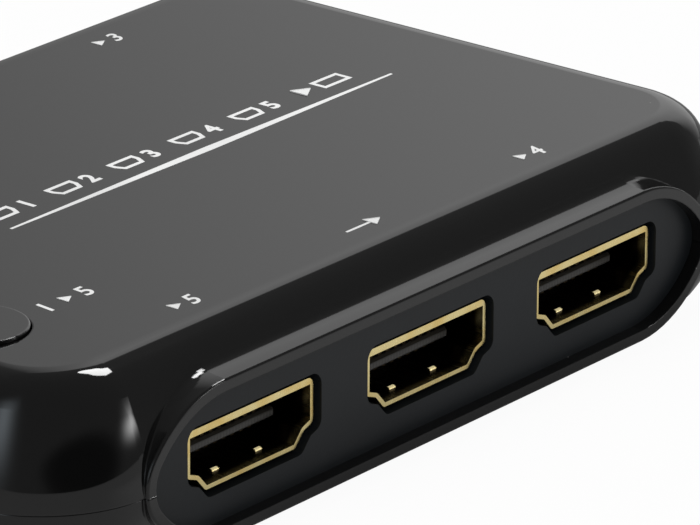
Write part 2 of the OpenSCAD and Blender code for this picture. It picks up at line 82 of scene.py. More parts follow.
def angle(name, description, degrees):
    """An angle property with its default given in degrees."""
    return FloatProperty(name=name, description=description, default=math.radians(degrees),
                         subtype="ANGLE", unit="ROTATION")


def colour(name, description, value):
    """A linear colour property."""
    return FloatVectorProperty(name=name, description=description, default=value, size=3,
                               min=0, max=1, subtype="COLOR")


def amount(name, description, value):
    """A plain number property."""
    return FloatProperty(name=name, description=description, default=value, precision=4)


class FinishSettings(PropertyGroup):
    """Colours and surface values of the finishes."""
    gloss: colour("Gloss plastic", "Body colour of the polished shells", (0.004, 0.004, 0.004))
    gloss_roughness: amount("Gloss roughness", "Roughness of the polished shells", 0.03)
    seam: length("Seam", "Height of the seam between the shells", 7.3)
    seam_edge: length("Seam edge", "Height of the rounded edge under the seam", 0.17)
    panel: colour("Panel plastic", "Body colour of the satin socket panels", (0.0075, 0.0092, 0.011))
    panel_roughness: amount("Panel roughness", "Roughness of the satin socket panels", 0.42)
    gold: colour("Gold plate", "Plating of the socket shells", (1.0, 0.84, 0.41))
    gold_deep: colour("Deep gold", "Plating in its thinner places", (0.93, 0.68, 0.24))
    # Painted shade: the plating deep inside a socket is given this dark colour in place of the shade there
    gold_shade: colour("Shaded gold", "Plating deep inside a socket", (0.045, 0.03, 0.018))
    gold_roughness: amount("Gold roughness", "Roughness of the plating", 0.26)
    # Painted highlight: the springs' glint is this colour, given off as a glow
    glint: colour("Spring glint", "Light caught by the springs in a socket", (0.5, 0.43, 0.24))
    # The nose, up to the nose top, is coloured lighter than the rest of the tongue
    nose_top: length("Nose top", "Upper edge of the rubbed nose above a socket's foot", 2.48)
    nose: colour("Tongue nose", "Rubbed end of a socket's tongue", (0.062, 0.061, 0.059))
    ink: colour("Ink", "Colour of the printed marks", (0.97, 0.975, 0.97))


class PrintSettings(PropertyGroup):
    """Sizes and places of the marks printed on the top."""
    ink_height: length("Ink height", "How far the ink stands above the top", 0.015)
    ink_root: length("Ink root", "How far the ink reaches into the top", 0.01)
    front_inset: length("Front mark inset", "From the front lip to the front port marks", 7.9)
    rear_inset: length("Rear mark inset", "From the rear lip to the rear port marks", 8.25)
    mark_height: length("Port mark height", "Height of a port numeral", 1.75)
    button_mark_height: length("Button mark height", "Height of the numerals beside the button", 1.75)
    button_mark_gap: length("Button mark gap", "From the button's edge to its first numeral", 1.6)
    button_mark_drop: length("Button mark drop", "From the button's middle to the foot of its mark", 2.2)
    row_height: length("Row height", "Height of the bold row's numerals", 1.8)
    row_start: length("Row start", "Left end of the bold row", -17.0)
    row_y: length("Row place", "Foot of the bold row from the middle plane", 0.1)
    line_start: length("Line start", "Left end of the tapered line", -17.5)
    line_end: length("Line end", "Right end of the tapered line", 29.05)
    line_y: length("Line place", "Middle of the tapered line", -1.75)
    line_width: length("Line width", "Width of the tapered line at its middle", 0.84)
    line_tip: length("Line tip", "Width of the tapered line at its ends", 0.25)


class StudioSettings(PropertyGroup):
    """Camera, floor and light of the studio."""
    camera_place: FloatVectorProperty(name="Camera place", description="Where the camera stands",
                                      default=(-0.3755, -0.32065, 0.19476), size=3,
                                      subtype="TRANSLATION", unit="LENGTH", precision=5)
    camera_turn: angle("Camera turn", "Turn of the camera about the upright axis", -51.3836)
    camera_drop: angle("Camera drop", "How far the camera looks down", 20.6857)
    camera_roll: angle("Camera roll", "Roll of the camera about its own axis", 0.2407)
    lens: amount("Lens", "Focal length in millimetres on a 36 mm wide sensor", 346.307)
    floor_size: length("Floor size", "Edge of the square floor", 9000)
    floor_grey: amount("Floor grey", "Reflectance of the floor", 0.8)
    floor_in_gloss: amount("Floor in gloss", "Level of the floor left of the box in reflections", 0.4)
    floor_front: amount("Floor before the ports", "Level of the floor before the ports in reflections", 0.58)
    ambient: amount("Ambient", "Level of the even light all round", 0.72)
    key_radiance: amount("Key light", "Brightness of the key softbox's face", 15)


# Small helpers for node trees

def add_node(tree, kind, settings=None, inputs=None):
    """Adds a node; inputs that are sockets are linked and the rest are set."""
    new = tree.nodes.new(kind)
    for name, value in (settings or {}).items():
        setattr(new, name, value)
    for key, value in (inputs or {}).items():
        if isinstance(value, bpy.types.NodeSocket):
            tree.links.new(value, new.inputs[key])
        else:
            new.inputs[key].default_value = value
    return new


def maths(tree, operation, *values):
    """A Math node's result."""
    return add_node(tree, "ShaderNodeMath", {"operation": operation},
                    dict(enumerate(values))).outputs[0]


def ramp(tree, value, low, high, start, end, smooth=True):
    """Maps low..high onto start..end, held at both ends."""
    kind = "SMOOTHSTEP" if smooth else "LINEAR"
    return add_node(tree, "ShaderNodeMapRange", {"interpolation_type": kind},
                    {0: value, 1: low, 2: high, 3: start, 4: end}).outputs[0]


def blend_colour(tree, mask, first, second):
    """Mixes two colours by a mask."""
    mix = add_node(tree, "ShaderNodeMix", {"data_type": "RGBA"})
    for socket, value in ((mix.inputs[0], mask), (mix.inputs[6], first), (mix.inputs[7], second)):
        if isinstance(value, bpy.types.NodeSocket):
            tree.links.new(value, socket)
        else:
            socket.default_value = value
    return mix.outputs[2]


def rgba(value):
    """A colour with full alpha."""
    return (*value, 1.0)


def noise(tree, vector, scale, detail=2.0, roughness=0.5):
    """A noise texture's value."""
    return add_node(tree, "ShaderNodeTexNoise", None, {
        "Vector": vector, "Scale": scale, "Detail": detail, "Roughness": roughness}).outputs[0]


def node_group(name, inputs, outputs):
    """A new shader node group with value sockets of the given names; a vector comes first."""
    tree = bpy.data.node_groups.new(name, "ShaderNodeTree")
    tree.interface.new_socket("Vector", in_out="INPUT", socket_type="NodeSocketVector")
    for label in inputs:
        tree.interface.new_socket(label, in_out="INPUT", socket_type="NodeSocketFloat")
    for label in outputs:
        tree.interface.new_socket(label, in_out="OUTPUT", socket_type="NodeSocketFloat")
    return tree, tree.nodes.new("NodeGroupInput").outputs, tree.nodes.new("NodeGroupOutput").inputs


def handling_marks():
    """Smears, dust specks and the slight ripple of a polished moulding."""
    name = "Handling Marks"
    if name in bpy.data.node_groups:
        return bpy.data.node_groups[name]
    tree, given, result = node_group(name, ("Speck Share",), ("Smear", "Specks", "Ripple"))
    broad = noise(tree, given["Vector"], 55, 3, 0.55)
    wiped = add_node(tree, "ShaderNodeMapping", None, {
        "Vector": given["Vector"], "Rotation": (0, 0, 0.6), "Scale": (1, 6, 1)}).outputs[0]
    streak = noise(tree, wiped, 120, 2, 0.5)
    smear = maths(tree, "MULTIPLY", ramp(tree, broad, 0.45, 0.7, 0, 1), streak)
    tree.links.new(smear, result["Smear"])
    cells = add_node(tree, "ShaderNodeTexVoronoi", None, {"Vector": given["Vector"], "Scale": 520})
    near = ramp(tree, cells.outputs["Distance"], 0.02, 0.05, 1, 0)
    red = add_node(tree, "ShaderNodeSeparateColor", None, {0: cells.outputs["Color"]}).outputs[0]
    picked = maths(tree, "LESS_THAN", red, given["Speck Share"])
    tree.links.new(maths(tree, "MULTIPLY", near, picked), result["Specks"])
    tree.links.new(noise(tree, given["Vector"], 150, 1, 0.4), result["Ripple"])
    return tree


def moulded_grain():
    """Fine spark-eroded grain of a satin moulding, with slow changes of tone."""
    name = "Moulded Grain"
    if name in bpy.data.node_groups:
        return bpy.data.node_groups[name]
    tree, given, result = node_group(name, ("Grain Scale",), ("Height", "Tone", "Sheen"))
    grain = noise(tree, given["Vector"], given["Grain Scale"], 3, 0.6)
    tree.links.new(grain, result["Height"])
    slow = noise(tree, given["Vector"], 90, 2, 0.5)
    tree.links.new(ramp(tree, slow, 0.3, 0.7, 0, 1), result["Tone"])
    tree.links.new(maths(tree, "MULTIPLY", slow, grain), result["Sheen"])
    return tree


def plating():
    """Uneven tone, fine rolling lines and small pits of plated sheet."""
    name = "Plating"
    if name in bpy.data.node_groups:
        return bpy.data.node_groups[name]
    tree, given, result = node_group(name, ("Line Scale",), ("Tone", "Lines", "Height"))
    tone = noise(tree, given["Vector"], 420, 3, 0.6)
    tree.links.new(ramp(tree, tone, 0.35, 0.75, 0, 1), result["Tone"])
    drawn = add_node(tree, "ShaderNodeMapping", None, {
        "Vector": given["Vector"], "Scale": (1, 0.08, 1)}).outputs[0]
    lines = noise(tree, drawn, given["Line Scale"], 2, 0.5)
    tree.links.new(lines, result["Lines"])
    pits = noise(tree, given["Vector"], 2600, 1, 0.5)
    tree.links.new(maths(tree, "MULTIPLY_ADD", pits, 0.4, lines), result["Height"])
    return tree


def start_material(name):
    """A material with an empty Principled shader and Object coordinates."""
    material = bpy.data.materials.new(name)
    material.use_nodes = True
    tree = material.node_tree
    shader = tree.nodes["Principled BSDF"]
    where = add_node(tree, "ShaderNodeTexCoord").outputs["Object"]
    return material, tree, shader, where


def use_group(tree, group, where, **values):
    """Places a node group on Object coordinates with its own values."""
    placed = add_node(tree, "ShaderNodeGroup", {"node_tree": group}, {"Vector": where})
    for name, value in values.items():
        placed.inputs[name.replace("_", " ")].default_value = value
    return placed.outputs


def add_bump(tree, shader, height, distance, under=None):
    """Raises the surface by a height of 0..1 over a distance in metres, over another normal if given."""
    bump = add_node(tree, "ShaderNodeBump", None, {"Height": height, "Strength": 1.0, "Distance": distance})
    if under is not None:
        tree.links.new(under, bump.inputs["Normal"])
    tree.links.new(bump.outputs[0], shader.inputs["Normal"])


def gloss_material(name, base, roughness, specks):
    """Polished black plastic with softened edges, smears, specks of dust and a slight ripple."""
    material, tree, shader, where = start_material(name)
    marks = use_group(tree, handling_marks(), where, Speck_Share=specks)
    dust = (0.16, 0.16, 0.155, 1)
    tree.links.new(blend_colour(tree, marks["Specks"], rgba(base), dust), shader.inputs["Base Color"])
    rubbed = maths(tree, "MULTIPLY_ADD", marks["Smear"], 0.035, roughness)
    dusty = maths(tree, "MULTIPLY_ADD", marks["Specks"], 0.5, rubbed)
    tree.links.new(dusty, shader.inputs["Roughness"])
    shader.inputs["IOR"].default_value = 1.5
    softened = add_node(tree, "ShaderNodeBevel", {"samples": 6}, {"Radius": EDGE_SOFTENING}).outputs[0]
    add_bump(tree, shader, marks["Ripple"], 8e-7, softened)
    return material


def shell_material(name, settings):
    """Gloss of the shells, with the lower shell's edge rounded over under the seam."""
    material = gloss_material(name, settings.gloss, settings.gloss_roughness, 0.035)
    tree = material.node_tree
    shader = tree.nodes["Principled BSDF"]
    rippled = shader.inputs["Normal"].links[0].from_socket
    where = add_node(tree, "ShaderNodeTexCoord").outputs["Object"]
    z = add_node(tree, "ShaderNodeSeparateXYZ", None, {0: where}).outputs[2]
    lowered = ramp(tree, z, settings.seam - settings.seam_edge, settings.seam, 1.0, 0.0)
    add_bump(tree, shader, lowered, settings.seam_edge/2, rippled)
    return material


def satin_material(name, base, roughness, grain=3200, depth=8e-6, tone=0.25, specks=0.02, sheen=0.5):
    """Satin or matt moulded plastic or rubber with grain, tone changes and a little dust."""
    material, tree, shader, where = start_material(name)
    grained = use_group(tree, moulded_grain(), where, Grain_Scale=grain)
    marks = use_group(tree, handling_marks(), where, Speck_Share=specks)
    light = tuple(min(1, c*(1 + tone)) for c in base)
    toned = blend_colour(tree, grained["Tone"], rgba(base), rgba(light))
    dust = tuple(min(1, c + 0.12) for c in base)
    tree.links.new(blend_colour(tree, marks["Specks"], toned, rgba(dust)), shader.inputs["Base Color"])
    tree.links.new(maths(tree, "MULTIPLY_ADD", grained["Sheen"], 0.12, roughness - 0.03),
                   shader.inputs["Roughness"])
    shader.inputs["Specular IOR Level"].default_value = sheen
    add_bump(tree, shader, grained["Height"], depth)
    return material


def metal_material(name, base, deep, roughness, lines=1800, depth=4e-6):
    """Plated or drawn metal with uneven tone, fine lines and pits."""
    material, tree, shader, where = start_material(name)
    plate = use_group(tree, plating(), where, Line_Scale=lines)
    tree.links.new(blend_colour(tree, plate["Tone"], rgba(base), rgba(deep)), shader.inputs["Base Color"])
    tree.links.new(maths(tree, "MULTIPLY_ADD", plate["Lines"], 0.16, roughness - 0.08),
                   shader.inputs["Roughness"])
    shader.inputs["Metallic"].default_value = 1.0
    add_bump(tree, shader, plate["Height"], depth)
    return material


# Places inside a socket: depths from its rim, where the painted shade sets in, half sizes of its springs and
# of their painted glint, and its tongue's slots
PAINTED_SHADE_FADE = (0.25*MM, 0.9*MM)
SPRING_DEPTH = 1.5*MM
SPRING_ALONG = 2.5*MM
SPRING_UP = 0.47*MM
SPRING_HALF = (0.42*MM, 0.26*MM, 0.11*MM)
CREST_DEPTH = 1.45*MM
CREST_HALF = (0.34*MM, 0.18*MM)
NOSE_FADE = (2.34*MM, 2.44*MM)
NOSE_BLUR = 0.06*MM
SLOT_HALF_PITCH = 0.18*MM
SLOT_FADE = (0.05*MM, 0.1*MM)


def socket_depth(tree, where):
    """Depth behind the rim of the sockets in metres, place along a socket and height."""
    x, y, z = add_node(tree, "ShaderNodeSeparateXYZ", None, {0: where}).outputs
    rim = abs(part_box("front_shell_2")[0].y)
    depth = maths(tree, "SUBTRACT", rim, maths(tree, "ABSOLUTE", y))
    half = (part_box("front_shell_3")[0].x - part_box("front_shell_2")[0].x)/2
    return depth, maths(tree, "WRAP", x, half, -half), z


def gold_material(name, settings):
    """Bright plated rims of the sockets, with painted shade deeper inside and a painted glint that glows on
    the springs.
    """
    material = metal_material(name, settings.gold, settings.gold_deep, settings.gold_roughness)
    tree = material.node_tree
    shader = tree.nodes["Principled BSDF"]
    plated = shader.inputs["Base Color"].links[0].from_socket
    where = add_node(tree, "ShaderNodeTexCoord").outputs["Object"]
    depth, along, z = socket_depth(tree, where)
    aside = maths(tree, "ABSOLUTE", along)
    # Painted shade: the plating darkens with depth behind the rim, except on the springs
    inside = ramp(tree, depth, *PAINTED_SHADE_FADE, 0.0, 1.0)
    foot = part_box("front_shell_2")[0].z
    beside = maths(tree, "COMPARE", aside, SPRING_ALONG, SPRING_HALF[0])
    close = maths(tree, "COMPARE", depth, SPRING_DEPTH, SPRING_HALF[1])
    low = maths(tree, "COMPARE", z, foot + SPRING_UP, SPRING_HALF[2])
    spring = maths(tree, "MULTIPLY", low, maths(tree, "MULTIPLY", close, beside))
    painted_shade = maths(tree, "MULTIPLY", inside, maths(tree, "SUBTRACT", 1.0, spring))
    tree.links.new(blend_colour(tree, painted_shade, plated, rgba(settings.gold_shade)), shader.inputs["Base Color"])
    # Painted highlight: a small glowing glint on the crest of each spring
    crown = maths(tree, "COMPARE", aside, SPRING_ALONG, CREST_HALF[0])
    crest = maths(tree, "COMPARE", depth, CREST_DEPTH, CREST_HALF[1])
    painted_glint_mask = maths(tree, "MULTIPLY", spring, maths(tree, "MULTIPLY", crown, crest))
    glint = blend_colour(tree, painted_glint_mask, (0, 0, 0, 1), rgba(settings.glint))
    tree.links.new(glint, shader.inputs["Emission Color"])
    shader.inputs["Emission Strength"].default_value = 1.0
    return material


def tongue_material(name, settings):
    """Dark socket plastic, lighter at its blunt nose, which is marked by the slots of the contacts."""
    material, tree, shader, where = start_material(name)
    grained = use_group(tree, moulded_grain(), where, Grain_Scale=4200)
    toned = blend_colour(tree, grained["Tone"], (0.012, 0.011, 0.010, 1), (0.018, 0.016, 0.014, 1))
    depth, along, z = socket_depth(tree, where)
    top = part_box("front_shell_2")[0].z + settings.nose_top
    nose_height_mask = ramp(tree, z, top - NOSE_BLUR, top + NOSE_BLUR, 1.0, 0.0)
    nose = maths(tree, "MULTIPLY", ramp(tree, depth, *NOSE_FADE, 1.0, 0.0), nose_height_mask)
    slots = maths(tree, "PINGPONG", along, SLOT_HALF_PITCH)
    solid = maths(tree, "MULTIPLY", nose, ramp(tree, slots, *SLOT_FADE, 0.4, 1.0))
    tree.links.new(blend_colour(tree, solid, toned, rgba(settings.nose)), shader.inputs["Base Color"])
    tree.links.new(maths(tree, "MULTIPLY_ADD", grained["Sheen"], 0.1, 0.36), shader.inputs["Roughness"])
    add_bump(tree, shader, grained["Height"], 6e-6)
    return material


def board_material(name):
    """Green solder mask over copper tracks."""
    material, tree, shader, where = start_material(name)
    tracks = add_node(tree, "ShaderNodeTexBrick", None, {
        "Vector": where, "Scale": 240, "Mortar Size": 0.03, "Brick Width": 1.6, "Row Height": 0.25})
    grained = use_group(tree, moulded_grain(), where, Grain_Scale=2600)
    mask = blend_colour(tree, grained["Tone"], (0.008, 0.075, 0.028, 1), (0.011, 0.095, 0.036, 1))
    tree.links.new(blend_colour(tree, tracks.outputs["Fac"], mask, (0.03, 0.17, 0.07, 1)),
                   shader.inputs["Base Color"])
    tree.links.new(maths(tree, "MULTIPLY_ADD", grained["Sheen"], 0.12, 0.28), shader.inputs["Roughness"])
    raised = maths(tree, "MULTIPLY_ADD", grained["Height"], 0.2, tracks.outputs["Fac"])
    add_bump(tree, shader, raised, 2e-5)
    return material


def clear_material(name):
    """Clear light guide plastic, a little milky."""
    material, tree, shader, where = start_material(name)
    marks = use_group(tree, handling_marks(), where, Speck_Share=0.02)
    grained = use_group(tree, moulded_grain(), where, Grain_Scale=1500)
    tree.links.new(blend_colour(tree, grained["Tone"], (0.82, 0.85, 0.87, 1), (0.9, 0.92, 0.93, 1)),
                   shader.inputs["Base Color"])
    tree.links.new(maths(tree, "MULTIPLY_ADD", marks["Smear"], 0.2, 0.12), shader.inputs["Roughness"])
    shader.inputs["Transmission Weight"].default_value = 0.55
    shader.inputs["IOR"].default_value = 1.49
    add_bump(tree, shader, marks["Ripple"], 4e-6)
    return material


def ink_material(name, base):
    """White screen ink with thin places."""
    material, tree, shader, where = start_material(name)
    grained = use_group(tree, moulded_grain(), where, Grain_Scale=5200)
    thin = tuple(c*0.86 for c in base)
    tree.links.new(blend_colour(tree, grained["Tone"], rgba(base), rgba(thin)), shader.inputs["Base Color"])
    tree.links.new(maths(tree, "MULTIPLY_ADD", grained["Sheen"], 0.2, 0.4), shader.inputs["Roughness"])
    add_bump(tree, shader, grained["Height"], 3e-6)
    return material


def finish_for(slot, settings):
    """The material of a record slot, made once."""
    if slot in bpy.data.materials and bpy.data.materials[slot].get("finished"):
        return bpy.data.materials[slot]
    steel = ((0.62, 0.62, 0.62), (0.5, 0.5, 0.5))
    makers = {
        "gloss_shell": lambda n: shell_material(n, settings),
        "gloss_button": lambda n: gloss_material(n, settings.gloss, settings.gloss_roughness + 0.01, 0.02),
        "satin_panel": lambda n: satin_material(n, settings.panel, settings.panel_roughness, specks=0.06,
                                                 sheen=0.3),
        "gold_plate": lambda n: gold_material(n, settings),
        # Painted shade: the contacts' gold is this dark copy of the plating, for the shade deep in the
        # sockets
        "contact_gold": lambda n: metal_material(n, (0.07, 0.052, 0.026), (0.045, 0.032, 0.016), 0.36, 2600),
        "socket_plastic": lambda n: tongue_material(n, settings),
        "dark_plastic": lambda n: satin_material(n, (0.02, 0.02, 0.021), 0.4),
        "bright_metal": lambda n: metal_material(n, *steel, 0.26),
        "clear_plastic": clear_material,
        "light_body": lambda n: satin_material(n, (0.72, 0.7, 0.6), 0.4, tone=0.1),
        "board": board_material,
        "chip_plastic": lambda n: satin_material(n, (0.018, 0.018, 0.019), 0.55, 2600, 1.2e-5),
        "can_metal": lambda n: metal_material(n, (0.7, 0.71, 0.73), (0.6, 0.61, 0.63), 0.3),
        "screw_steel": lambda n: metal_material(n, (0.5, 0.5, 0.52), (0.36, 0.36, 0.37), 0.34),
        "foot_rubber": lambda n: satin_material(n, (0.02, 0.02, 0.02), 0.75, 1800, 2.5e-5),
        "ink": lambda n: ink_material(n, settings.ink),
    }
    made = makers[slot](slot)
    made["finished"] = True
    return made


def finish_nodes(context, *slots):
    """Gives every solid of these record slots its material."""
    for name, slot in SLOT_OF.items():
        if slot in slots:
            node = NODES[name]
            node.data.materials.clear()
            node.data.materials.append(finish_for(slot, context.scene.switch_box_finish))


# Small helpers for modelling

def only(*objects):
    """Selects these objects alone; the last one is active."""
    bpy.ops.object.select_all(action="DESELECT")
    for item in objects:
        item.select_set(True)
        bpy.context.view_layer.objects.active = item


def select_where(piece, test):
    """In edit mode, selects the vertices whose place passes a test."""
    bpy.ops.mesh.select_all(action="DESELECT")
    bpy.ops.object.mode_set(mode="OBJECT")
    for vertex in piece.data.vertices:
        vertex.select = test(vertex.co)
    bpy.ops.object.mode_set(mode="EDIT")


def settle(piece, name):
    """Names a piece and puts its place into its mesh."""
    only(piece)
    bpy.ops.object.transform_apply(location=True, rotation=True, scale=True)
    piece.name = name
    piece.data.name = name
    return piece


def join(pieces, name):
    """Joins pieces into one."""
    only(*pieces)
    bpy.ops.object.join()
    return settle(bpy.context.view_layer.objects.active, name)


def ink_levels(sizes):
    """Lower and upper face of the ink on the top of the case."""
    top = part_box("top_shell")[1].z
    return top - sizes.ink_root, top + sizes.ink_height


def printed(context, piece):
    """Gives a printed mark its ink and lets it ride on the case."""
    piece.data.materials.clear()
    piece.data.materials.append(finish_for("ink", context.scene.switch_box_finish))
    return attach(piece, "case")


def numeral(sizes, text, height, place, lean=0.0, weight=0.0):
    """Solid ink numerals of a given height, with their middle foot at a place."""
    low, high = ink_levels(sizes)
    bpy.ops.object.select_all(action="DESELECT")
    bpy.ops.object.text_add()
    piece = bpy.context.object
    piece.data.body = text
    piece.data.shear = lean
    piece.data.offset = weight
    piece.data.extrude = 0.1
    piece.data.resolution_u = 6
    bpy.ops.object.convert(target="MESH")
    piece = bpy.context.object
    only(piece)
    bpy.ops.object.mode_set(mode="EDIT")
    bpy.ops.mesh.select_all(action="SELECT")
    bpy.ops.mesh.remove_doubles(threshold=1e-4)
    bpy.ops.mesh.normals_make_consistent(inside=False)
    bpy.ops.object.mode_set(mode="OBJECT")
    corners = [Vector(c) for c in piece.bound_box]
    least = Vector(min(c[i] for c in corners) for i in range(3))
    most = Vector(max(c[i] for c in corners) for i in range(3))
    size = height/(most.y - least.y)
    piece.scale = (size, size, (high - low)/(most.z - least.z))
    piece.location = (place[0] - size*(least.x + most.x)/2, place[1] - size*least.y,
                      low - piece.scale.z*least.z)
    bpy.ops.object.transform_apply(location=True, rotation=True, scale=True)
    return piece


def arrow_head(sizes, place, reach, turn=0.0):
    """A solid three-cornered ink mark with blunted corners, pointing along +X before its turn."""
    low, high = ink_levels(sizes)
    bpy.ops.object.select_all(action="DESELECT")
    bpy.ops.mesh.primitive_cylinder_add(vertices=3, radius=reach*2/3, depth=high - low,
                                        location=(*place, (low + high)/2), rotation=(0, 0, turn - math.pi/2))
    piece = bpy.context.object
    bpy.ops.object.transform_apply(location=True, rotation=True, scale=True)
    bpy.ops.object.mode_set(mode="EDIT")
    bpy.ops.mesh.select_all(action="SELECT")
    bpy.ops.mesh.bevel(offset=reach*0.06, segments=2, affect="EDGES")
    bpy.ops.object.mode_set(mode="OBJECT")
    return piece


def ink_bar(sizes, start, end, y, width, tip):
    """A solid ink line along X, widest at its middle and narrowed to its tips."""
    low, high = ink_levels(sizes)
    middle = ((start + end)/2, y, (low + high)/2)
    bpy.ops.object.select_all(action="DESELECT")
    bpy.ops.mesh.primitive_cube_add(size=1, location=middle)
    piece = bpy.context.object
    piece.scale = (end - start, width, high - low)
    bpy.ops.object.transform_apply(location=True, rotation=True, scale=True)
    bpy.ops.object.mode_set(mode="EDIT")
    bpy.ops.mesh.select_all(action="SELECT")
    bpy.ops.mesh.bisect(plane_co=middle, plane_no=(1, 0, 0))
    near = (end - start)/100
    select_where(piece, lambda co: abs(co.x - middle[0]) > near)
    bpy.ops.transform.resize(value=(1, tip/width, 1), center_override=middle)
    bpy.ops.object.mode_set(mode="OBJECT")
    return piece


def socket_sign(sizes, place, width, height, foot):
    """A solid ink outline of a socket mouth, narrower at its foot."""
    low, high = ink_levels(sizes)
    bpy.ops.object.select_all(action="DESELECT")
    bpy.ops.mesh.primitive_plane_add(size=1, location=(place[0], place[1] + height/2, low))
    piece = bpy.context.object
    piece.scale = (width, height, 1)
    bpy.ops.object.transform_apply(location=True, rotation=True, scale=True)
    middle = (place[0], place[1] + height/2, low)
    bpy.ops.object.mode_set(mode="EDIT")
    bpy.ops.mesh.select_all(action="SELECT")
    bpy.ops.mesh.bisect(plane_co=middle, plane_no=(0, 1, 0))
    select_where(piece, lambda co: co.y < place[1] + height/4)
    bpy.ops.transform.resize(value=(foot, 1, 1), center_override=middle)
    bpy.ops.mesh.select_all(action="SELECT")
    bpy.ops.mesh.dissolve_limited(angle_limit=0.01)
    bpy.ops.mesh.inset(thickness=height*0.21, depth=0)
    bpy.ops.mesh.delete(type="FACE")
    bpy.ops.mesh.select_all(action="SELECT")
    bpy.ops.mesh.extrude_region_move(TRANSFORM_OT_translate={"value": (0, 0, high - low)})
    bpy.ops.mesh.select_all(action="SELECT")
    bpy.ops.mesh.normals_make_consistent(inside=False)
    bpy.ops.object.mode_set(mode="OBJECT")
    return piece


# Operators: finishes of the solids

class SWITCHBOX_OT_shells(Operator):
    """Polishes both shells and the push button"""
    bl_idname = "switchbox.shells"
    bl_label = "Shells and Button"

    def execute(self, context):
        finish_nodes(context, "gloss_shell", "gloss_button")
        return {"FINISHED"}


class SWITCHBOX_OT_panels(Operator):
    """Gives the two socket panels their satin finish"""
    bl_idname = "switchbox.panels"
    bl_label = "Socket Panels"

    def execute(self, context):
        finish_nodes(context, "satin_panel")
        return {"FINISHED"}


class SWITCHBOX_OT_sockets(Operator):
    """Plates the socket shells and contacts and darkens the tongues"""
    bl_idname = "switchbox.sockets"
    bl_label = "Sockets"

    def execute(self, context):
        finish_nodes(context, "gold_plate", "contact_gold", "socket_plastic")
        return {"FINISHED"}


class SWITCHBOX_OT_inside(Operator):
    """Finishes the board, its parts, the push switch and the lights"""
    bl_idname = "switchbox.inside"
    bl_label = "Board and Inside"

    def execute(self, context):
        finish_nodes(context, "board", "chip_plastic", "can_metal", "light_body", "clear_plastic",
                     "dark_plastic", "bright_metal")
        return {"FINISHED"}


class SWITCHBOX_OT_underside(Operator):
    """Finishes the screws and the rubber feet"""
    bl_idname = "switchbox.underside"
    bl_label = "Screws and Feet"

    def execute(self, context):
        finish_nodes(context, "screw_steel", "foot_rubber")
        return {"FINISHED"}


# Operators: printed marks

class SWITCHBOX_OT_line(Operator):
    """Prints the tapered line across the top"""
    bl_idname = "switchbox.line"
    bl_label = "Tapered Line"

    def execute(self, context):
        sizes = context.scene.switch_box_print
        line = ink_bar(sizes, sizes.line_start, sizes.line_end, sizes.line_y,
                       sizes.line_width, sizes.line_tip)
        printed(context, settle(line, "tapered_line"))
        return {"FINISHED"}


class SWITCHBOX_OT_row(Operator):
    """Prints the bold row: five numbered sockets, an arrow and one screen"""
    bl_idname = "switchbox.row"
    bl_label = "Bold Row"

    def execute(self, context):
        sizes = context.scene.switch_box_print
        height = sizes.row_height
        step = height*4.1
        for count in range(1, 6):
            left = sizes.row_start + (count - 1)*step
            sign = socket_sign(sizes, (left + height*0.85, sizes.row_y), height*1.7, height, 0.72)
            figure = numeral(sizes, str(count), height, (left + height*2.45, sizes.row_y), weight=0.035)
            printed(context, join([sign, figure], f"row_mark_{count}"))
        left = sizes.row_start + 5*step
        head = arrow_head(sizes, (left + height*0.6, sizes.row_y + height/2), height*0.9)
        screen = socket_sign(sizes, (left + height*2.6, sizes.row_y), height*1.9, height, 1.0)
        printed(context, join([head, screen], "row_mark_out"))
        return {"FINISHED"}


class SWITCHBOX_OT_ports(Operator):
    """Prints a numeral and an arrow over each port"""
    bl_idname = "switchbox.ports"
    bl_label = "Port Marks"

    def execute(self, context):
        sizes = context.scene.switch_box_print
        low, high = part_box("top_shell")
        rows = {"front": (low.y + sizes.front_inset, ("5", None, "4")),
                "rear": (high.y - sizes.rear_inset, ("1", "2", "3"))}
        tall = sizes.mark_height
        for row, (middle, figures) in rows.items():
            for count, figure in enumerate(figures, 1):
                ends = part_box(f"{row}_shell_{count}")
                x = (ends[0].x + ends[1].x)/2
                foot = middle - tall/2
                if figure is None:
                    shaft = ink_bar(sizes, x - tall*1.1, x + tall*0.5, middle, tall*0.16, tall*0.14)
                    head = arrow_head(sizes, (x + tall*0.75, middle), tall*0.75)
                    mark = join([shaft, head], "port_mark_out")
                else:
                    head = arrow_head(sizes, (x - tall*0.65, middle), tall*0.6)
                    sign = numeral(sizes, figure, tall, (x + tall*0.45, foot), lean=0.25, weight=0.015)
                    mark = join([head, sign], f"port_mark_{figure}")
                printed(context, mark)
        return {"FINISHED"}


class SWITCHBOX_OT_button_mark(Operator):
    """Prints the range of numbers beside the push button"""
    bl_idname = "switchbox.button_mark"
    bl_label = "Button Mark"

    def execute(self, context):
        sizes = context.scene.switch_box_print
        tall = sizes.button_mark_height
        low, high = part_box("push_button")
        foot = (low.y + high.y)/2 - sizes.button_mark_drop
        x = high.x + sizes.button_mark_gap
        first = numeral(sizes, "1", tall, (x, foot), lean=0.1, weight=0.015)
        head = arrow_head(sizes, (x + tall*1.3, foot + tall/2), tall*0.6)
        last = numeral(sizes, "5", tall, (x + tall*2.5, foot), lean=0.1, weight=0.015)
        printed(context, join([first, head, last], "button_mark"))
        return {"FINISHED"}


# Operator: stage

